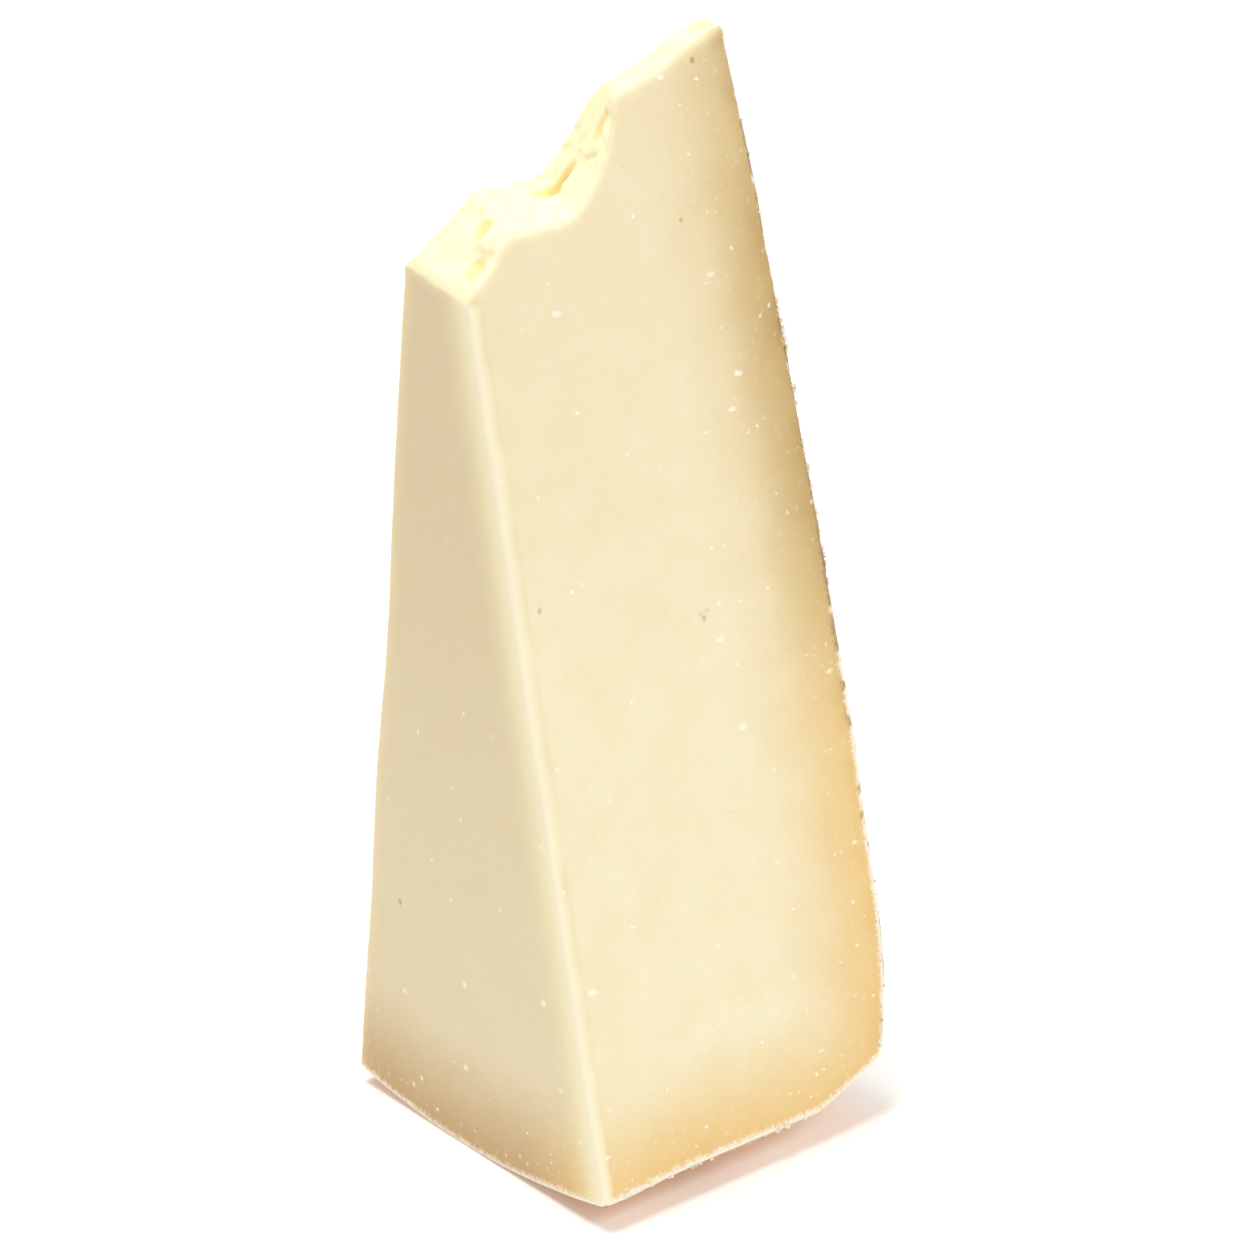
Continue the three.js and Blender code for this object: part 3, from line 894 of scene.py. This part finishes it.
def makeBrokenPaste():
    tree, shader, mm = startMaterial("brokenPaste")
    mottle = placeGroup(tree, curdMottle, mm, Curd_Size=3.2)
    colour = blend(tree, mottle.outputs["Tone"], paste["chalky"], paste["crumbly"])
    # Painted shade: cracks, tears and dips are painted a deeper yellow, for the warm light bounced inside
    # them
    deep = ease(tree, readPoint(tree, "crevice"), 0.04, 0.75, 0.0, 0.85)
    colour = blend(tree, deep, colour, paste["crevice"])
    under = readPoint(tree, "sideDepth")
    colour = blend(tree, ease(tree, under, 6.0, 0.5, 0.0, 0.3), colour, paste["nearRind"])
    colour = blend(tree, ease(tree, under, 1.2, 0.3, 0.0, 0.8), colour, paste["crustPale"])
    tree.links.new(colour, shader.inputs["Base Color"])
    grain = maths(tree, "MULTIPLY", mottle.outputs["Grain"], 0.3)
    tree.links.new(maths(tree, "ADD", grain, 0.5), shader.inputs["Roughness"])
    rough = speckle(tree, mm, 1.7, 5.0, 0.62).outputs["Fac"]
    height = maths(tree, "MULTIPLY_ADD", rough, 1.0)
    feed(tree, height.node, 2, maths(tree, "MULTIPLY", mottle.outputs["Grain"], 0.5))
    bump = addNode(tree, "ShaderNodeBump")
    bump.inputs["Strength"].default_value = 0.45
    bump.inputs["Distance"].default_value = 0.00025
    tree.links.new(height, bump.inputs["Height"])
    tree.links.new(bump.outputs["Normal"], shader.inputs["Normal"])
    setPasteShader(shader, 0.2, paste["breakScatter"], paste["crumbReach"])


# The rind and the bits on it: colours, and the cloth's thread pitch in millimetres
rind = {
    "tan": (0.56, 0.42, 0.25, 1),
    "brown": (0.33, 0.22, 0.12, 1),
    "bloom": (0.73, 0.66, 0.54, 1),
    "grey": (0.47, 0.42, 0.35, 1),
    "rust": (0.55, 0.34, 0.15, 1),
    "crumbPale": (0.93, 0.88, 0.76, 1),
    "crumbDeep": (0.72, 0.60, 0.43, 1),
    "clothPitch": 0.85,
}


# The rind, with the cloth's threads along the two coordinates named
def makeRind(name, across, along):
    tree, shader, mm = startMaterial(name)
    parts = addNode(tree, "ShaderNodeSeparateXYZ")
    warp = speckle(tree, mm, 0.09, 2.0)
    push = addNode(tree, "ShaderNodeVectorMath", operation="MULTIPLY_ADD")
    tree.links.new(warp.outputs["Color"], push.inputs[0])
    push.inputs[1].default_value = (4.5, 4.5, 4.5)
    tree.links.new(mm, push.inputs[2])
    tree.links.new(push.outputs[0], parts.inputs[0])
    ways = {"Across": parts.outputs[across], "Along": parts.outputs[along]}
    cloth = placeGroup(tree, clothPrint, None, Pitch=rind["clothPitch"], **ways)
    slow = speckle(tree, mm, 0.035, 5.0, 0.6).outputs["Fac"]
    patch = speckle(tree, mm, 0.10, 6.0, 0.66).outputs["Fac"]
    fine = speckle(tree, mm, 2.2, 5.0, 0.65).outputs["Fac"]
    threads = maths(tree, "MULTIPLY", cloth.outputs["Height"], ease(tree, slow, 0.35, 0.6, 0.35, 1.0))
    colour = blend(tree, ease(tree, slow, 0.36, 0.64), rind["brown"], rind["tan"])
    colour = blend(tree, ease(tree, patch, 0.47, 0.70, 0.0, 0.7), colour, rind["grey"])
    stain = ease(tree, speckle(tree, mm, 0.11, 4.0).outputs["Fac"], 0.58, 0.68, 0.0, 0.55)
    colour = blend(tree, stain, colour, rind["rust"])
    dusty = maths(tree, "MULTIPLY_ADD", threads, 0.10)
    feed(tree, dusty.node, 2, maths(tree, "MULTIPLY_ADD", fine, 0.45))
    feed(tree, dusty.node.inputs[2].links[0].from_node, 2, maths(tree, "MULTIPLY", patch, 0.6))
    colour = blend(tree, ease(tree, dusty, 0.46, 0.72, 0.0, 0.8), colour, rind["bloom"])
    colour = blend(tree, ease(tree, threads, 0.25, 0.0, 0.0, 0.35), colour, rind["brown"])
    paleStrip = ease(tree, readPoint(tree, "edgeWearAndHighlight"), 0.1, 0.8, 0.0, 0.8)
    colour = blend(tree, paleStrip, colour, rind["crumbPale"])
    tree.links.new(colour, shader.inputs["Base Color"])
    tree.links.new(ease(tree, fine, 0.3, 0.7, 0.72, 0.95), shader.inputs["Roughness"])
    height = maths(tree, "MULTIPLY_ADD", threads, 0.40)
    feed(tree, height.node, 2, maths(tree, "MULTIPLY_ADD", fine, 0.6))
    feed(tree, height.node.inputs[2].links[0].from_node, 2, maths(tree, "MULTIPLY", patch, 1.4))
    bump = addNode(tree, "ShaderNodeBump")
    bump.inputs["Strength"].default_value = 0.8
    bump.inputs["Distance"].default_value = 0.0006
    tree.links.new(height, bump.inputs["Height"])
    tree.links.new(bump.outputs["Normal"], shader.inputs["Normal"])
    shader.inputs["Specular IOR Level"].default_value = 0.25
    shader.inputs["Subsurface Weight"].default_value = 0.12
    shader.inputs["Subsurface Scale"].default_value = 0.0015


# Bits of bloom on the rind's edge
def makeRindCrumb():
    tree, shader, mm = startMaterial("rindCrumb")
    tone = speckle(tree, mm, 0.8, 3.0).outputs["Fac"]
    colour = blend(tree, ease(tree, tone, 0.35, 0.6), rind["crumbDeep"], rind["crumbPale"])
    tree.links.new(colour, shader.inputs["Base Color"])
    tree.links.new(ease(tree, tone, 0.3, 0.7, 0.7, 0.9), shader.inputs["Roughness"])
    setPasteShader(shader, 0.2, paste["crumbScatter"], paste["crumbReach"])


makeCutPaste()
makeBrokenPaste()
makeRindCrumb()
makeRind("rindSide", "Y", "Z")
makeRind("rindWall", "X", "Y")
print("cheddar: materials made")

# The studio: a pale floor with a painted warm bounce of light near the cheese, a soft dome and soft lamps
studio = {
    "floorSize": 12.0,
    "floorTone": (0.83, 0.83, 0.83, 1),
    "domeStrength": 0.40,
    "domeTone": (1.0, 0.975, 0.925, 1),
    "floorGlow": 0.28,
    "glowTone": (0.96, 0.96, 0.96, 1),
    # Painted light: near the cheese the floor's glow turns warm, for light bounced off the cheese into
    # its shadow
    "paintedBounceNearCheese": (1.0, 0.56, 0.35, 1),
    "paintedBounceReach": (("X", -34.0, -27.0), ("X", 34.0, 20.0), ("Y", -43.0, -31.5), ("Y", 38.0, 28.0)),
    "lamps": [
        # name, place, aim, size, watts, tone
        ("keyLamp", (0.75, -0.95, 1.15), (0, 0, 0.08), 0.7, 9.6, (0.98, 1.0, 1.01)),
        ("topLamp", (-0.2, 0.25, 1.5), (0, 0, 0.12), 0.7, 17.0, (1.0, 0.99, 0.97)),
        ("fillLamp", (-0.5, -0.85, 0.42), (0, 0, 0.08), 0.4, 0.6, (1.0, 1.0, 1.0)),
    ],
    "cameraPlace": (-0.39736, -0.47928, 0.34910),
    "cameraAim": (-0.00964, -0.00949, 0.08680),
    "lens": 130.33,
}


def makeStudio():
    bpy.ops.object.select_all(action="DESELECT")
    bpy.ops.mesh.primitive_plane_add(size=studio["floorSize"], location=(0, 0, 0))
    floor = bpy.context.object
    floor.name = "paleFloor"
    tree, shader, mm = startMaterial("paleFloorFinish")
    faint = speckle(tree, mm, 0.01, 2.0).outputs["Fac"]
    lighter = tuple(min(1, c * 1.01) for c in studio["floorTone"][:3]) + (1,)
    tree.links.new(blend(tree, faint, studio["floorTone"], lighter), shader.inputs["Base Color"])
    shader.inputs["Roughness"].default_value = 0.9
    spot = addNode(tree, "ShaderNodeSeparateXYZ")
    tree.links.new(mm, spot.inputs[0])
    # Painted light: the glow turns warm round the cheese's footing, fading along x and y, for light
    # bounced off the cheese
    bounceShare = 1.0
    for axis, start, end in studio["paintedBounceReach"]:
        bounceShare = maths(tree, "MULTIPLY", ease(tree, spot.outputs[axis], start, end), bounceShare)
    glowWithBounce = blend(tree, bounceShare, studio["glowTone"], studio["paintedBounceNearCheese"])
    tree.links.new(glowWithBounce, shader.inputs["Emission Color"])
    shader.inputs["Emission Strength"].default_value = studio["floorGlow"]
    floor.data.materials.append(bpy.data.materials["paleFloorFinish"])

    world = bpy.data.worlds.new("softDome")
    bpy.context.scene.world = world
    world.use_nodes = True
    sky = world.node_tree.nodes["Background"]
    sky.inputs["Color"].default_value = studio["domeTone"]
    sky.inputs["Strength"].default_value = studio["domeStrength"]

    for name, place, aim, size, watts, tone in studio["lamps"]:
        bpy.ops.object.light_add(type="AREA", location=place)
        lamp = bpy.context.object
        lamp.name = name
        lamp.rotation_euler = (Vector(aim) - Vector(place)).to_track_quat("-Z", "Y").to_euler()
        lamp.data.shape = "DISK"
        lamp.data.size = size
        lamp.data.energy = watts
        lamp.data.color = tone

    bpy.ops.object.camera_add(location=studio["cameraPlace"])
    camera = bpy.context.object
    aim = Vector(studio["cameraAim"]) - Vector(studio["cameraPlace"])
    camera.rotation_euler = aim.to_track_quat("-Z", "Y").to_euler()
    camera.data.lens = studio["lens"]
    camera.data.sensor_width = 36
    camera.data.clip_start = 0.01
    camera.data.clip_end = 50
    bpy.context.scene.camera = camera
    bpy.context.scene.view_settings.view_transform = "Standard"


makeStudio()
print("cheddar: studio set")
